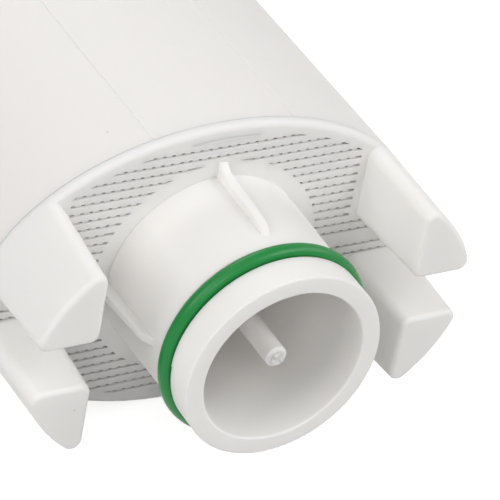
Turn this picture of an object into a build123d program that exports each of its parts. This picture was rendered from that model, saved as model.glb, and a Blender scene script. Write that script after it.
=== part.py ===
from build123d import *

import math
import os

# Oval housing in millimetres, modelled standing on its mouth and laid on its broad side at the end
overall_length = 106.0  # mouth of the neck to the crown
oval_long = 30.3  # half of the oval's long axis
oval_short = 20.5  # half of its short axis
shell_wall = 1.8
crown_wall = 2.0
crown_round = 3.0
seam_spread = 9.5  # each lengthwise line to the middle of the broad face
seam_width = 0.25
seam_depth = 0.06

# Outlet neck, whose mouth is at height zero
neck_radius = 13.0
neck_wall = 2.4
neck_length = 20.6  # mouth to the intake face
neck_flare = 0.3  # gain in radius from the seal to the root
mouth_round = 0.25
collar_border = 2.1  # plain ring between the neck's root and the slits

# Seal in its groove
seal_section = 1.05  # radius of the ring's section
seal_height = 5.4  # middle of the ring above the mouth
groove_depth = 1.2
groove_play = 0.25  # gap beside the ring, each way
seal_squeeze = 0.05  # flat where the ring sits on the groove's floor
groove_step = 0.15  # lower mould half cuts the groove this much nearer the mouth

# Ribs from the neck to the plain ring
rib_count = 4
rib_thickness = 1.2
rib_start = 1.0  # gap from the groove to the rib's nose
rib_nose_run = 2.2
rib_nose_height = 1.1
rib_nose_round = 3.0
rib_root_height = 1.5
rib_toe_run = 1.35
rib_toe_height = 0.4
rib_round = 0.35
rib_bite = 0.8  # how far a rib reaches into the wall that carries it

# Pin that opens the tank's valve, on a three-armed web in the port
pin_radius = 1.4
pin_recess = 1.75  # tip below the mouth
pin_chamfer = 0.35
web_arms = 3
web_thickness = 1.6
web_height = 3.6

# Base cap: floor, rounded edge and the spigot that enters the shell
cap_floor = 1.6
edge_round = 0.7
edge_border = 1.7  # plain border between the oval's edge and the slits
parting_rise = 1.3  # intake face to the parting line
parting_bevel = 0.1
spigot_depth = 4.0
spigot_wall = 1.4
spigot_clearance = 0.05

# Corner feet, hollow from inside
foot_length = 13.6  # intake face to the foot's end
foot_reach = 9.45  # oval's end to the root of the foot's inner face, along the long axis
foot_gap = 5.5  # between the roots of the two feet at one end
foot_inset = 0.04
foot_face_draft = 2.2  # lean of each side towards the foot's end, in degrees
foot_gap_draft = 1.5
foot_outer_draft = 1.2
foot_corner = 1.3
foot_edge = 0.6
foot_wall = 1.8

# Intake grille: rows of slits along the long axis, with none on the middle line
row_pitch = 1.25
slit_width = 0.4
slit_shortest = 1.5
foot_margin = 0.95  # plain border beside a foot's inner face

# Riser tube in its socket
riser_radius = 7.0
riser_wall = 1.3
socket_depth = 7.0
socket_wall = 1.5
socket_clearance = 0.05
riser_slits = 12
riser_slit_width = 0.6
riser_slit_length = 10.0
riser_brow = 0.6  # ceiling of the tube to the top of its slits
riser_headroom = 4.0  # riser's top to the dial's pocket

# Filter bed
bed_gap = 0.3
bed_headroom = 7.0

# Date dial in the crown's pocket
pocket_radius = 13.0
pocket_depth = 4.6
post_radius = 3.0
post_shank = 2.35
post_head_lip = 0.4
post_head_height = 1.0
post_slit = 0.8
post_slit_depth = 2.2
dial_play = 0.05  # radial running clearance on the post
dial_lift = 0.12  # clearance under the hub and under the post's head
dial_side_gap = 0.3
dial_underside = 0.45  # room for the raised numbers below the disc
dial_thickness = 1.6
dial_sunk = 0.3  # top of the grip below the crown
dial_bevel = 0.3
hub_radius = 5.2
head_room = 0.4  # gap round the post's head
grip_width = 4.0
grip_margin = 1.2  # grip's end to the disc's edge
grip_round = 0.6
window_inner = 7.2
window_outer = 11.4
window_angle = 56.0  # two of twelve months

# Heights and radii that follow from the sizes above
intake_face = neck_length
parting = intake_face + parting_rise
floor_top = intake_face + cap_floor
spigot_inset = shell_wall + spigot_clearance
spigot_bore_inset = spigot_inset + spigot_wall
spigot_top = parting + spigot_depth
foot_root = intake_face + cap_floor / 2
foot_end = intake_face - foot_length
foot_face = oval_long - foot_reach
bore_radius = neck_radius - neck_wall
root_radius = neck_radius + neck_flare
collar_radius = root_radius + collar_border
groove_radius = neck_radius - groove_depth
groove_half = seal_section + groove_play
port_radius = riser_radius - riser_wall
socket_radius = riser_radius + socket_clearance
pocket_floor = overall_length - pocket_depth
pocket_under = pocket_floor - crown_wall
riser_top = pocket_under - riser_headroom
bed_top = pocket_under - bed_headroom
dial_radius = pocket_radius - dial_side_gap
far = 2 * overall_length  # longer than anything that is cut


def oval(inset=0.0):
    return Ellipse(oval_long - inset, oval_short - inset)


def prism(face, low, high):
    return extrude(Pos(0, 0, low) * face, high - low)


def disc(radius, low, high):
    return prism(Circle(radius), low, high)


def turned(points):
    return revolve(Plane.XZ * make_face(Polyline(*points, close=True)), Axis.Z)


def corner_block(inner_x, inner_y):
    return Pos(inner_x + far / 2, inner_y + far / 2) * Rectangle(far, far)


def four_corners(item):
    across = item + mirror(item, Plane.YZ)
    return across + mirror(across, Plane.XZ)


def shell():
    body = prism(oval(), parting, overall_length)
    body = fillet(body.edges().sort_by(Axis.Z)[-1], crown_round)
    cavity = prism(oval(shell_wall), parting, overall_length - crown_wall)
    pocket_cup = disc(pocket_radius + shell_wall, pocket_under, overall_length)
    body -= cavity - pocket_cup
    body -= disc(pocket_radius, pocket_floor, overall_length)
    return body - seams() + dial_post()


def seams():
    surface = oval_short * math.sqrt(1 - (seam_spread / oval_long) ** 2)
    height = surface - seam_depth + far / 2
    top = overall_length - crown_round
    lines = [
        Pos(x, y) * Rectangle(seam_width, far)
        for x in (-seam_spread, seam_spread)
        for y in (-height, height)
    ]
    return prism(Sketch() + lines, parting, top)


def dial_post():
    shank_top = pocket_floor + post_shank
    head_radius = post_radius + post_head_lip
    head_top = shank_top + post_head_height
    post = turned(
        [
            (0, pocket_floor),
            (post_radius, pocket_floor),
            (post_radius, shank_top),
            (head_radius, shank_top),
            (post_radius, head_top),
            (0, head_top),
        ]
    )
    slit = Rectangle(2 * head_radius, post_slit)
    return post - prism(slit, head_top - post_slit_depth, head_top)


def cap():
    body = plate() + neck() + ribs() + socket()
    body += four_corners(foot())
    body -= four_corners(foot_core())
    body -= slits()
    return body + web() + pin()


def plate():
    body = prism(oval(), intake_face, parting)
    body = fillet(body.edges().sort_by(Axis.Z)[0], edge_round)
    body = chamfer(body.edges().sort_by(Axis.Z)[-1], parting_bevel)
    body += prism(oval(spigot_inset), parting, spigot_top)
    body -= prism(oval(spigot_bore_inset), floor_top, spigot_top)
    return body - disc(bore_radius, intake_face, floor_top)


def neck():
    groove_low = seal_height - groove_half
    groove_high = seal_height + groove_half
    tube = turned(
        [
            (bore_radius, 0),
            (neck_radius, 0),
            (neck_radius, groove_low),
            (groove_radius, groove_low),
            (groove_radius, groove_high),
            (neck_radius, groove_high),
            (root_radius, intake_face),
            (root_radius, floor_top),
            (port_radius, floor_top),
            (port_radius, intake_face),
            (bore_radius, intake_face),
        ]
    )
    tube = fillet(tube.edges().group_by(Axis.Z)[0], mouth_round)
    step = Circle(far) - Circle(groove_radius) & Pos(0, far) * Rectangle(2 * far, 2 * far)
    return tube - prism(step, groove_low - groove_step, groove_low)


def ribs():
    nose = seal_height + groove_half + rib_start
    inner = neck_radius - rib_bite
    outline = Polyline(
        (inner, nose),
        (neck_radius + rib_nose_height, nose + rib_nose_run),
        (root_radius + rib_root_height, intake_face - rib_toe_run),
        (collar_radius, intake_face - rib_toe_height),
        (collar_radius, intake_face + rib_bite),
        (inner, intake_face + rib_bite),
        close=True,
    )
    side = make_face(outline)
    side = fillet(side.vertices().sort_by(Axis.Y)[1], rib_nose_round)
    rib = extrude(Plane.XZ * side, rib_thickness / 2, both=True)
    crest = rib.edges().filter_by(Axis.Y, reverse=True)
    crest = [e for e in crest if e.center().X > inner and e.center().Z < intake_face]
    rib = fillet(crest, rib_round)
    return Part() + [loc * rib for loc in PolarLocations(0, rib_count)]


def lean(draft, depth):
    return depth * math.tan(math.radians(draft))


def foot_profile(height):
    depth = foot_root - height
    inner_x = foot_face + lean(foot_face_draft, depth)
    inner_y = foot_gap / 2 + lean(foot_gap_draft, depth)
    outline = oval(foot_inset + lean(foot_outer_draft, depth))
    profile = outline & corner_block(inner_x, inner_y)
    return Pos(0, 0, height) * fillet(profile.vertices(), foot_corner)


def foot():
    leg = loft([foot_profile(foot_root).face(), foot_profile(foot_end).face()], ruled=True)
    return fillet(leg.faces().sort_by(Axis.Z)[0].edges(), foot_edge)


def foot_core():
    hollow = oval(spigot_bore_inset) & corner_block(foot_face + foot_wall, foot_gap / 2 + foot_wall)
    return prism(hollow, foot_end + foot_wall, floor_top)


def slits():
    panel = oval(edge_border) - Circle(collar_radius)
    panel -= four_corners(corner_block(foot_face - foot_margin, foot_gap / 2))
    count = int((oval_short - edge_border) / row_pitch)
    heights = [side * row_pitch * n for n in range(1, count + 1) for side in (-1, 1)]
    rows = Sketch() + [Pos(0, y) * Rectangle(far, slit_width) for y in heights]
    cuts = [f for f in (panel & rows).faces() if f.area > slit_shortest * slit_width]
    return prism(Sketch() + cuts, intake_face, floor_top)


def socket():
    ring = Circle(socket_radius + socket_wall) - Circle(socket_radius)
    return prism(ring, floor_top, floor_top + socket_depth)


def web():
    reach = port_radius + rib_bite
    arm = Pos(reach / 2, 0) * Rectangle(reach, web_thickness)
    arms = Sketch() + [loc * arm for loc in PolarLocations(0, web_arms)]
    return prism(arms, floor_top - web_height, floor_top)


def pin():
    return turned(
        [
            (0, pin_recess),
            (pin_radius - pin_chamfer, pin_recess),
            (pin_radius, pin_recess + pin_chamfer),
            (pin_radius, floor_top),
            (0, floor_top),
        ]
    )


def seal():
    centre = groove_radius + seal_section - seal_squeeze
    section = Pos(centre, seal_height) * Circle(seal_section)
    section -= Pos(groove_radius - far / 2, 0) * Rectangle(far, far)
    return revolve(Plane.XZ * section, Axis.Z)


def riser():
    tube = disc(riser_radius, floor_top, riser_top)
    tube -= disc(port_radius, floor_top, riser_top - riser_wall)
    slit = Pos(riser_radius - riser_wall / 2, 0) * Rectangle(2 * riser_wall, riser_slit_width)
    ring = Sketch() + [loc * slit for loc in PolarLocations(0, riser_slits)]
    slit_top = riser_top - riser_wall - riser_brow
    return tube - prism(ring, slit_top - riser_slit_length, slit_top)


def bed():
    shoulder = spigot_top + bed_gap
    lower = prism(oval(spigot_bore_inset + bed_gap), floor_top + bed_gap, shoulder)
    body = lower + prism(oval(shell_wall + bed_gap), shoulder, bed_top)
    body -= disc(socket_radius + socket_wall + bed_gap, floor_top, floor_top + socket_depth + bed_gap)
    return body - disc(riser_radius + bed_gap, floor_top, bed_top)


def dial():
    low = pocket_floor + dial_lift
    plate_low = pocket_floor + dial_underside
    plate_top = plate_low + dial_thickness
    top = overall_length - dial_sunk
    plate = disc(dial_radius, plate_low, plate_top)
    plate = chamfer(plate.edges().sort_by(Axis.Z)[-1], dial_bevel)
    grip = prism(SlotOverall(2 * (dial_radius - grip_margin), grip_width), plate_low, top)
    hub = disc(hub_radius, low, top)
    for raised in (grip, hub):
        plate += fillet(raised.edges().group_by(Axis.Z)[-1], grip_round)
    body = plate - disc(post_radius + dial_play, low, top)
    seat = pocket_floor + post_shank - dial_lift
    body -= disc(post_radius + post_head_lip + head_room, seat, top)
    return body - window(plate_low, plate_top)


def window(low, high):
    sector = Circle(window_outer) - Circle(window_inner)
    half = math.radians(window_angle / 2)
    side = window_outer * math.tan(half)
    wedge = make_face(Polyline((0, 0), (side, window_outer), (-side, window_outer), close=True))
    return prism(sector & wedge, low, high)


pieces = {
    "housing_shell": shell(),
    "base_cap": cap(),
    "neck_seal": seal(),
    "riser_tube": riser(),
    "filter_bed": bed(),
    "date_dial": dial(),
}

os.makedirs("parts", exist_ok=True)
lay_down = Rot(-90, 0, 0)
for name, piece in pieces.items():
    export_step(lay_down * piece, f"parts/{name}.step")
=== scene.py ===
import math
import random

import bmesh
import bpy
from mathutils import Matrix, Vector


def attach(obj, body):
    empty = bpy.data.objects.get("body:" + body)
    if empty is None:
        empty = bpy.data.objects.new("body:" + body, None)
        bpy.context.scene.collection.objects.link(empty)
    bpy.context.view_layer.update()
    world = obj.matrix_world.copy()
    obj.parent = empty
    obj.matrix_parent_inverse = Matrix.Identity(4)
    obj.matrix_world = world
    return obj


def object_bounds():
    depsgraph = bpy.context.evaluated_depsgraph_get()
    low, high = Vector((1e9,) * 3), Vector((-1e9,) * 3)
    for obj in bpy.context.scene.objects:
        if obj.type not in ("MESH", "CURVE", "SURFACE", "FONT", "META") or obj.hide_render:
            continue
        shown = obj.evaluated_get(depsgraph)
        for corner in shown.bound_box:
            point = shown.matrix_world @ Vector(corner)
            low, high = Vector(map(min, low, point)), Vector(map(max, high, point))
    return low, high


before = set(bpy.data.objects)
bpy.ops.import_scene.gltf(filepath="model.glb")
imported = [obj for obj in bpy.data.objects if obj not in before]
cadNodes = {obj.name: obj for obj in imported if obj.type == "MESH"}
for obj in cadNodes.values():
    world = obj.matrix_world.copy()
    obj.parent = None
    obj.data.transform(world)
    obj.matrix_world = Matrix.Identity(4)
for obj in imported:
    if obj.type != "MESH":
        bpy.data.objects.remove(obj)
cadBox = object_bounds()
scene = bpy.context.scene
mm = 0.001
print("frame loaded:", sorted(cadNodes))


# camera, at the angle the filter is seen from, leaning a little to the right
cameraView = {
    "azimuth": -34.98,
    "elevation": 35.39,
    "roll": 11.31,
    "aim": (6.39, 20.75, 0.89),  # millimetres
    "distance": 403.45,
    "lens": 237.34,
    "sensor": 36,
    "clip": (0.01, 20),  # metres
}


def bearing(turn, lift):
    turn, lift = math.radians(turn), math.radians(lift)
    return Vector((math.sin(turn) * math.cos(lift), -math.cos(turn) * math.cos(lift), math.sin(lift)))


def placeCamera(view):
    data = bpy.data.cameras.new("camera")
    data.lens = view["lens"]
    data.sensor_width = view["sensor"]
    data.clip_start, data.clip_end = view["clip"]
    camera = bpy.data.objects.new("camera", data)
    scene.collection.objects.link(camera)
    back = bearing(view["azimuth"], view["elevation"])
    aim = Vector(view["aim"]) * mm
    camera.location = aim + back * view["distance"] * mm
    upright = (-back).to_track_quat("-Z", "Y").to_matrix()
    lean = Matrix.Rotation(math.radians(view["roll"]), 3, "Z")
    camera.rotation_euler = (upright @ lean).to_euler()
    scene.camera = camera


placeCamera(cameraView)
print("camera placed")


# small tools for shader trees
def addNode(tree, kind, **values):
    node = tree.nodes.new(kind)
    for key, value in values.items():
        setattr(node, key, value)
    return node


def setInputs(node, **values):
    for key, value in values.items():
        node.inputs[key.replace("_", " ")].default_value = value
    return node


def newGroup(name, inputs, outputs):
    group = bpy.data.node_groups.new(name, "ShaderNodeTree")
    for label, kind, value in inputs:
        socket = group.interface.new_socket(label, in_out="INPUT", socket_type=kind)
        socket.default_value = value
    for label, kind in outputs:
        group.interface.new_socket(label, in_out="OUTPUT", socket_type=kind)
    start = addNode(group, "NodeGroupInput")
    end = addNode(group, "NodeGroupOutput")
    return group, start, end


def noise(tree, place, scaleFrom, detail, roughness):
    node = addNode(tree, "ShaderNodeTexNoise")
    setInputs(node, Detail=detail, Roughness=roughness)
    tree.links.new(place, node.inputs["Vector"])
    if isinstance(scaleFrom, (int, float)):
        node.inputs["Scale"].default_value = scaleFrom
    else:
        tree.links.new(scaleFrom, node.inputs["Scale"])
    return node.outputs["Fac"]


def spread(tree, value, low, high, outLow=0.0, outHigh=1.0):
    node = addNode(tree, "ShaderNodeMapRange")
    node.clamp = True
    setInputs(node, From_Min=low, From_Max=high, To_Min=outLow, To_Max=outHigh)
    tree.links.new(value, node.inputs["Value"])
    return node.outputs["Result"]


def combine(tree, operation, first, second):
    node = addNode(tree, "ShaderNodeMath", operation=operation)
    for index, item in enumerate((first, second)):
        if isinstance(item, (int, float)):
            node.inputs[index].default_value = item
        else:
            tree.links.new(item, node.inputs[index])
    return node.outputs[0]


def mixColour(tree, mask, first, second):
    node = addNode(tree, "ShaderNodeMix", data_type="RGBA")
    tree.links.new(mask, node.inputs["Factor"])
    for socket, item in ((node.inputs["A"], first), (node.inputs["B"], second)):
        if isinstance(item, tuple):
            socket.default_value = (*item, 1)
        else:
            tree.links.new(item, socket)
    return node.outputs["Result"]


# fine eroded grain of a moulded surface, with a slow drift in gloss and tone
grainMake = {
    "grain": (2.0, 0.6),  # detail and roughness of the noise
    "drift": (3.0, 0.55),
    "tone": (2.0, 0.5),
    "toneScale": 31.0,
    "driftSpan": (0.3, 0.7),  # part of the noise that is spread from 0 to 1
}


def buildMouldGrain(make):
    group, start, end = newGroup(
        "mouldGrain",
        [("Grain Scale", "NodeSocketFloat", 2600.0), ("Drift Scale", "NodeSocketFloat", 70.0)],
        [(label, "NodeSocketFloat") for label in ("Height", "Gloss Drift", "Tone Drift")],
    )
    place = addNode(group, "ShaderNodeTexCoord").outputs["Object"]
    grain = noise(group, place, start.outputs["Grain Scale"], *make["grain"])
    drift = noise(group, place, start.outputs["Drift Scale"], *make["drift"])
    tone = noise(group, place, make["toneScale"], *make["tone"])
    group.links.new(grain, end.inputs["Height"])
    group.links.new(spread(group, drift, *make["driftSpan"]), end.inputs["Gloss Drift"])
    group.links.new(spread(group, tone, *make["driftSpan"]), end.inputs["Tone Drift"])
    return group


# sparse specks of dust and grit
speckMake = {
    "Scale": 420.0,
    "Size": 0.16,  # of a cell
    "Share": 0.05,  # of the cells
}


def buildSpecks(make):
    group, start, end = newGroup(
        "specks",
        [(label, "NodeSocketFloat", value) for label, value in make.items()],
        [("Mask", "NodeSocketFloat")],
    )
    place = addNode(group, "ShaderNodeTexCoord").outputs["Object"]
    cells = addNode(group, "ShaderNodeTexVoronoi")
    group.links.new(place, cells.inputs["Vector"])
    group.links.new(start.outputs["Scale"], cells.inputs["Scale"])
    near = combine(group, "LESS_THAN", cells.outputs["Distance"], start.outputs["Size"])
    split = addNode(group, "ShaderNodeSeparateColor")
    group.links.new(cells.outputs["Color"], split.inputs["Color"])
    chosen = combine(group, "LESS_THAN", split.outputs["Red"], start.outputs["Share"])
    group.links.new(combine(group, "MULTIPLY", near, chosen), end.inputs["Mask"])
    return group


mouldGrain = buildMouldGrain(grainMake)
specks = buildSpecks(speckMake)
print("shader groups built")


def placeGroup(tree, group, **values):
    node = addNode(tree, "ShaderNodeGroup", node_tree=group)
    setInputs(node, **values)
    return node


def placeGrain(tree, look):
    return placeGroup(tree, mouldGrain, Grain_Scale=look["grainScale"], Drift_Scale=look["driftScale"])


def placeSpecks(tree, look):
    size, share = look["speckSize"], look["speckShare"]
    return placeGroup(tree, specks, Scale=look["speckScale"], Size=size, Share=share)


def newMaterial(name):
    material = bpy.data.materials.new(name)
    material.use_nodes = True
    tree = material.node_tree
    return material, tree, tree.nodes["Principled BSDF"]


def bumpFrom(tree, height, distance, strength):
    bump = addNode(tree, "ShaderNodeBump")
    setInputs(bump, Distance=distance, Strength=strength)
    tree.links.new(height, bump.inputs["Height"])
    return bump.outputs["Normal"]


# white moulded plastic in several batches
def whitePlastic(name, look):
    material, tree, shader = newMaterial(name)
    grain = placeGrain(tree, look)
    grit = placeSpecks(tree, look)
    toned = mixColour(tree, grain.outputs["Tone Drift"], look["colour"], look["tinge"])
    colour = mixColour(tree, grit.outputs["Mask"], toned, look["speckColour"])
    # painted shade: ambient occlusion darkens the colour in narrow hollows, mostly the grille's holes and
    # tight corners
    if "paintedShadeReach" in look:
        hollow = addNode(tree, "ShaderNodeAmbientOcclusion", samples=look["paintedShadeRays"])
        setInputs(hollow, Distance=look["paintedShadeReach"] * mm)
        paintedShadeMask = spread(tree, hollow.outputs["AO"], *look["paintedShadeSpan"], 1, 0)
        colour = mixColour(tree, paintedShadeMask, colour, look["paintedShadeColour"])
    tree.links.new(colour, shader.inputs["Base Color"])
    low, high = look["roughness"]
    rough = spread(tree, grain.outputs["Gloss Drift"], 0, 1, low, high)
    tree.links.new(rough, shader.inputs["Roughness"])
    normal = bumpFrom(tree, grain.outputs["Height"], look["grainDepth"] * mm, look["grainStrength"])
    tree.links.new(normal, shader.inputs["Normal"])
    shader.inputs["Specular IOR Level"].default_value = look["shine"]
    shader.inputs["Subsurface Weight"].default_value = look["glowWeight"]
    shader.inputs["Subsurface Radius"].default_value = look["glowReach"]
    shader.inputs["Subsurface Scale"].default_value = mm
    return material


shellLook = {
    "colour": (0.84, 0.808, 0.783),
    "tinge": (0.848, 0.825, 0.803),
    "grainScale": 2600,
    "driftScale": 60,
    "grainDepth": 0.02,
    "grainStrength": 0.25,
    "roughness": (0.5, 0.62),
    "shine": 0.18,
    "glowWeight": 0.5,  # light that soaks into the white plastic
    "glowReach": (1.8, 1.65, 1.5),  # millimetres
    "speckScale": 300,
    "speckSize": 0.05,
    "speckShare": 0.03,
    "speckColour": (0.72, 0.69, 0.65),
}
capLook = dict(
    shellLook,
    colour=(0.85, 0.832, 0.81),
    tinge=(0.86, 0.846, 0.828),
    roughness=(0.45, 0.58),
    paintedShadeReach=0.6,  # millimetres; painted shade: the colour darkens inwards in narrow hollows within this reach, mostly the grille's holes
    paintedShadeRays=6,
    paintedShadeSpan=(0.05, 0.34),  # open share of the surroundings
    # colour of the painted shade deep in the narrow hollows
    paintedShadeColour=(0.16, 0.15, 0.135),
)
barLook = dict(capLook, glowWeight=0.0)  # too thin to soak light
dialLook = dict(shellLook, colour=(0.82, 0.81, 0.795), roughness=(0.35, 0.48))
riserLook = dict(shellLook, colour=(0.76, 0.76, 0.74), roughness=(0.45, 0.6))

shellPlastic = whitePlastic("shellPlastic", shellLook)
capPlastic = whitePlastic("capPlastic", capLook)
barPlastic = whitePlastic("barPlastic", barLook)
dialPlastic = whitePlastic("dialPlastic", dialLook)
riserPlastic = whitePlastic("riserPlastic", riserLook)


# green seal rubber
sealLook = {
    "colour": (0.006, 0.2, 0.036),
    "tinge": (0.009, 0.23, 0.045),
    "roughness": (0.26, 0.36),
    "shine": 0.28,
    "grainScale": 1900,
    "driftScale": 140,
    "grainDepth": 0.02,
    "grainStrength": 0.3,
    "speckScale": 700,
    "speckSize": 0.12,
    "speckShare": 0.02,
    "speckColour": (0.35, 0.55, 0.38),
}


def sealRubberMaterial(look):
    material, tree, shader = newMaterial("sealRubber")
    grain = placeGrain(tree, look)
    dust = placeSpecks(tree, look)
    toned = mixColour(tree, grain.outputs["Tone Drift"], look["colour"], look["tinge"])
    colour = mixColour(tree, dust.outputs["Mask"], toned, look["speckColour"])
    tree.links.new(colour, shader.inputs["Base Color"])
    low, high = look["roughness"]
    tree.links.new(spread(tree, grain.outputs["Gloss Drift"], 0, 1, low, high), shader.inputs["Roughness"])
    normal = bumpFrom(tree, grain.outputs["Height"], look["grainDepth"] * mm, look["grainStrength"])
    tree.links.new(normal, shader.inputs["Normal"])
    shader.inputs["Specular IOR Level"].default_value = look["shine"]
    return material


sealRubber = sealRubberMaterial(sealLook)


# packed bed of amber beads and black granules
bedLook = {
    "bead": (0.36, 0.2, 0.07),
    "granule": (0.012, 0.012, 0.012),
    "cellScale": 1300,
    "carbonShare": 0.45,
    "roughness": 0.6,
    "grainReach": 0.8,  # of a cell, from its middle to where it is lowest
    "grainDepth": 0.3,  # millimetres
    "grainStrength": 0.8,
}


def bedMaterial(look):
    material, tree, shader = newMaterial("bedGranules")
    place = addNode(tree, "ShaderNodeTexCoord").outputs["Object"]
    cells = addNode(tree, "ShaderNodeTexVoronoi")
    setInputs(cells, Scale=look["cellScale"])
    tree.links.new(place, cells.inputs["Vector"])
    split = addNode(tree, "ShaderNodeSeparateColor")
    tree.links.new(cells.outputs["Color"], split.inputs["Color"])
    black = combine(tree, "LESS_THAN", split.outputs["Green"], look["carbonShare"])
    tree.links.new(mixColour(tree, black, look["bead"], look["granule"]), shader.inputs["Base Color"])
    shader.inputs["Roughness"].default_value = look["roughness"]
    height = spread(tree, cells.outputs["Distance"], 0, look["grainReach"], 1, 0)
    normal = bumpFrom(tree, height, look["grainDepth"] * mm, look["grainStrength"])
    tree.links.new(normal, shader.inputs["Normal"])
    return material


bedGranules = bedMaterial(bedLook)


def dress(node, material):
    mesh = cadNodes[node].data
    mesh.materials.clear()
    mesh.materials.append(material)


dress("housing_shell", shellPlastic)
dress("base_cap", capPlastic)
dress("neck_seal", sealRubber)
dress("riser_tube", riserPlastic)
dress("filter_bed", bedGranules)
dress("date_dial", dialPlastic)
print("materials on CAD pieces")


def newPiece(name, mesh, body, material):
    piece = bpy.data.objects.new(name, mesh)
    scene.collection.objects.link(piece)
    mesh.materials.append(material)
    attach(piece, body)


def addBlock(form, low, high):
    spans = list(zip(low, high))
    corners = [(x, y, z) for x in spans[0] for y in spans[1] for z in spans[2]]
    verts = [form.verts.new(c) for c in corners]
    for face in ((0, 1, 3, 2), (4, 6, 7, 5), (0, 4, 5, 1), (2, 3, 7, 6), (0, 2, 6, 4), (1, 5, 7, 3)):
        form.faces.new([verts[i] for i in face])


# little bars that divide each slit of the grille into a row of square holes
sieve = {
    "pitch": 1.25,
    "slitWidth": 0.4,
    "barLength": 0.78,
    "barFront": 20.86,  # the intake face is at 20.6
    "barBack": 21.9,
    "plugFront": 20.61,  # the outermost row is shut
    "plugBelow": 6.0,  # half of a slit's length
    "ovalLong": 28.6,
    "ovalShort": 18.8,
    "ringRadius": 15.4,
    "footFace": 19.9,
    "footGap": 2.75,
}


def insideGrille(x, z, s):
    inOval = (x / s["ovalLong"]) ** 2 + (z / s["ovalShort"]) ** 2 < 1
    outRing = math.hypot(x, z) > s["ringRadius"]
    clearFoot = abs(x) < s["footFace"] or abs(z) < s["footGap"]
    return inOval and outRing and clearFoot


def buildSieveBars(s):
    form = bmesh.new()
    rows = int(s["ovalShort"] / s["pitch"])
    columns = int(s["ovalLong"] / s["pitch"])
    half = s["slitWidth"] / 2
    for row in range(-rows, rows + 1):
        if row == 0:
            continue
        z = row * s["pitch"]
        reach = s["ovalLong"] * math.sqrt(1 - (z / s["ovalShort"]) ** 2)
        if reach < s["plugBelow"]:
            low = Vector((-s["plugBelow"], s["plugFront"], z - half)) * mm
            addBlock(form, low, Vector((s["plugBelow"], s["barBack"], z + half)) * mm)
            continue
        for column in range(-columns, columns + 1):
            x = column * s["pitch"]  # bars stand between the holes
            ends = (x - s["barLength"] / 2, x + s["barLength"] / 2)
            if not all(insideGrille(e, z, s) for e in ends):
                continue
            low = Vector((ends[0], s["barFront"], z - half)) * mm
            high = Vector((ends[1], s["barBack"], z + half)) * mm
            addBlock(form, low, high)
    bmesh.ops.recalc_face_normals(form, faces=form.faces)
    mesh = bpy.data.meshes.new("sieve_bars")
    form.to_mesh(mesh)
    form.free()
    newPiece("sieve_bars", mesh, "housing", barPlastic)


buildSieveBars(sieve)
print("sieve bars built")


# ragged stub where the runner was broken off the pin's tip
stub = {
    "tip": 1.75,  # below the mouth
    "radius": 1.03,
    "sink": 0.06,
    "height": (0.08, 0.42),
    "taper": (0.14, 0.42),
    "lipWidth": (0.2, 0.34),
    "crater": (0.04, 0.16),
    "points": 13,
    "seed": 7,
}


def buildGateStub(s):
    draw = random.Random(s["seed"])
    form = bmesh.new()
    base, crest, inner = [], [], []
    for step in range(s["points"]):
        turn = step * math.tau / s["points"]
        way = Vector((math.cos(turn), 0, math.sin(turn)))
        top = s["tip"] - draw.uniform(*s["height"])
        lip = s["radius"] - draw.uniform(*s["taper"])
        hollow = lip - draw.uniform(*s["lipWidth"])
        base.append(form.verts.new((way * s["radius"] + Vector((0, s["tip"] + s["sink"], 0))) * mm))
        crest.append(form.verts.new((way * lip + Vector((0, top, 0))) * mm))
        dip = top + draw.uniform(*s["crater"])
        inner.append(form.verts.new((way * hollow + Vector((0, dip, 0))) * mm))
    middle = form.verts.new(Vector((0, s["tip"] - s["height"][0], 0)) * mm)
    for step in range(s["points"]):
        after = (step + 1) % s["points"]
        form.faces.new((base[step], base[after], crest[after], crest[step]))
        form.faces.new((crest[step], crest[after], inner[after], inner[step]))
        form.faces.new((inner[step], inner[after], middle))
    form.faces.new(base)
    bmesh.ops.recalc_face_normals(form, faces=form.faces)
    mesh = bpy.data.meshes.new("gate_stub")
    form.to_mesh(mesh)
    form.free()
    newPiece("gate_stub", mesh, "housing", capPlastic)


buildGateStub(stub)
print("gate stub built")


# raised month numbers on the floor of the dial's pocket, two of them seen through its window
monthRing = {
    "pocketDepth": 4.6,
    "radius": 9.3,
    "digitSize": 3.0,
    "rise": 0.2,
    "sink": 0.05,
    "curveSteps": 4,
    "weld": 0.001,
    "months": 12,
    "firstTurn": 15,  # degrees clockwise from the top, seen from behind
}


def monthMesh(number, ring):
    curve = bpy.data.curves.new("month", "FONT")
    curve.body = str(number)
    curve.size = ring["digitSize"] * mm
    curve.align_x = "CENTER"
    curve.align_y = "CENTER"
    curve.extrude = (ring["rise"] + ring["sink"]) / 2 * mm
    curve.resolution_u = ring["curveSteps"]
    holder = bpy.data.objects.new("month", curve)
    scene.collection.objects.link(holder)
    bpy.context.view_layer.update()
    mesh = bpy.data.meshes.new_from_object(holder.evaluated_get(bpy.context.evaluated_depsgraph_get()))
    bpy.data.objects.remove(holder)
    bpy.data.curves.remove(curve)
    return mesh


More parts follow.
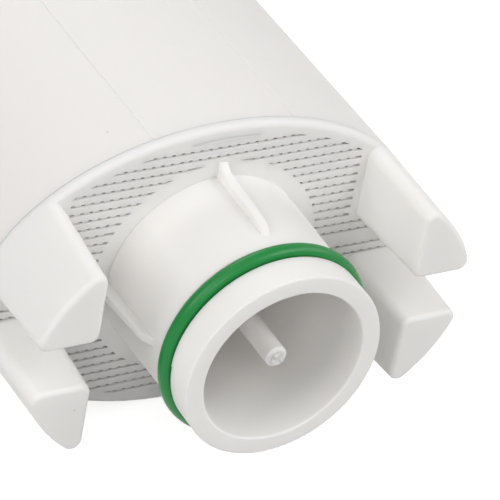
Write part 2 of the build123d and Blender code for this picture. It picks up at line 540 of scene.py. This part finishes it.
def buildMonthNumbers(ring):
    floorAt = cadBox[1].y / mm - ring["pocketDepth"]
    level = floorAt + (ring["rise"] - ring["sink"]) / 2
    form = bmesh.new()
    for month in range(1, ring["months"] + 1):
        turn = math.radians(ring["firstTurn"] + (month - 1) * 360 / ring["months"])
        outward = Vector((-math.sin(turn), 0, math.cos(turn)))
        along = outward.cross(Vector((0, 1, 0)))
        spot = outward * ring["radius"] + Vector((0, level, 0))
        place = Matrix((along, outward, Vector((0, 1, 0)))).transposed().to_4x4()
        place.translation = spot * mm
        digit = monthMesh(month, ring)
        digit.transform(place)
        form.from_mesh(digit)
        bpy.data.meshes.remove(digit)
    bmesh.ops.remove_doubles(form, verts=form.verts, dist=ring["weld"] * mm)
    bmesh.ops.recalc_face_normals(form, faces=form.faces)
    mesh = bpy.data.meshes.new("month_numbers")
    form.to_mesh(mesh)
    form.free()
    mesh.materials.clear()  # every face starts at the first material
    newPiece("month_numbers", mesh, "housing", shellPlastic)


buildMonthNumbers(monthRing)
print("month numbers built")


# floor, world and lamps
studio = {
    "floorSize": 4.0,  # metres, as are aim, distance and lampSize
    "floorColour": (0.65, 0.65, 0.65),
    "floorRoughness": 0.9,
    "floorGlow": 0.72,  # seen by the camera and in reflections only
    "worldLight": 0.1,
    "aim": (0, 0.02, 0),
    "distance": 0.9,
    "lampSize": 0.5,
    "lamps": {  # degrees round from the mouth, degrees up, watts
        "lensSide": (-35, 32, 2.3),
        "frontRight": (38, 46, 2.85),
        "rightSide": (75, 33, 2.05),
        "leftSide": (-88, 33, 2.9),
        "leftHigh": (-90, 68, 0.9),
        "behind": (180, 35, 1.85),
    },
}


def whiteToLens(tree):
    rays = addNode(tree, "ShaderNodeLightPath")
    lens = combine(tree, "MAXIMUM", rays.outputs["Is Camera Ray"], rays.outputs["Is Glossy Ray"])
    return combine(tree, "MAXIMUM", lens, rays.outputs["Is Transmission Ray"])


def buildFloor(s):
    form = bmesh.new()
    bmesh.ops.create_grid(form, x_segments=1, y_segments=1, size=s["floorSize"] / 2)
    mesh = bpy.data.meshes.new("floor")
    form.to_mesh(mesh)
    form.free()
    floor = bpy.data.objects.new("floor", mesh)
    floor.location.z = cadBox[0].z
    scene.collection.objects.link(floor)
    material, tree, shader = newMaterial("floorPaper")
    shader.inputs["Base Color"].default_value = (*s["floorColour"], 1)
    shader.inputs["Roughness"].default_value = s["floorRoughness"]
    shader.inputs["Specular IOR Level"].default_value = 0.0
    shader.inputs["Emission Color"].default_value = (1, 1, 1, 1)
    glow = combine(tree, "MULTIPLY", whiteToLens(tree), s["floorGlow"])
    tree.links.new(glow, shader.inputs["Emission Strength"])
    mesh.materials.append(material)


def buildWorld(s):
    world = bpy.data.worlds.new("studio")
    world.use_nodes = True
    tree = world.node_tree
    background = tree.nodes["Background"]
    background.inputs["Color"].default_value = (1, 1, 1, 1)
    strength = spread(tree, whiteToLens(tree), 0, 1, s["worldLight"], 1.0)
    tree.links.new(strength, background.inputs["Strength"])
    scene.world = world


def buildLamps(s):
    aim = Vector(s["aim"])
    for name, (turn, lift, power) in s["lamps"].items():
        data = bpy.data.lights.new(name, "AREA")
        data.size = s["lampSize"]
        data.energy = power
        item = bpy.data.objects.new(name, data)
        away = bearing(turn, lift)
        item.location = aim + away * s["distance"]
        item.rotation_euler = (-away).to_track_quat("-Z", "Y").to_euler()
        scene.collection.objects.link(item)


buildFloor(studio)
buildWorld(studio)
buildLamps(studio)
scene.view_settings.view_transform = "Standard"
print("studio built")
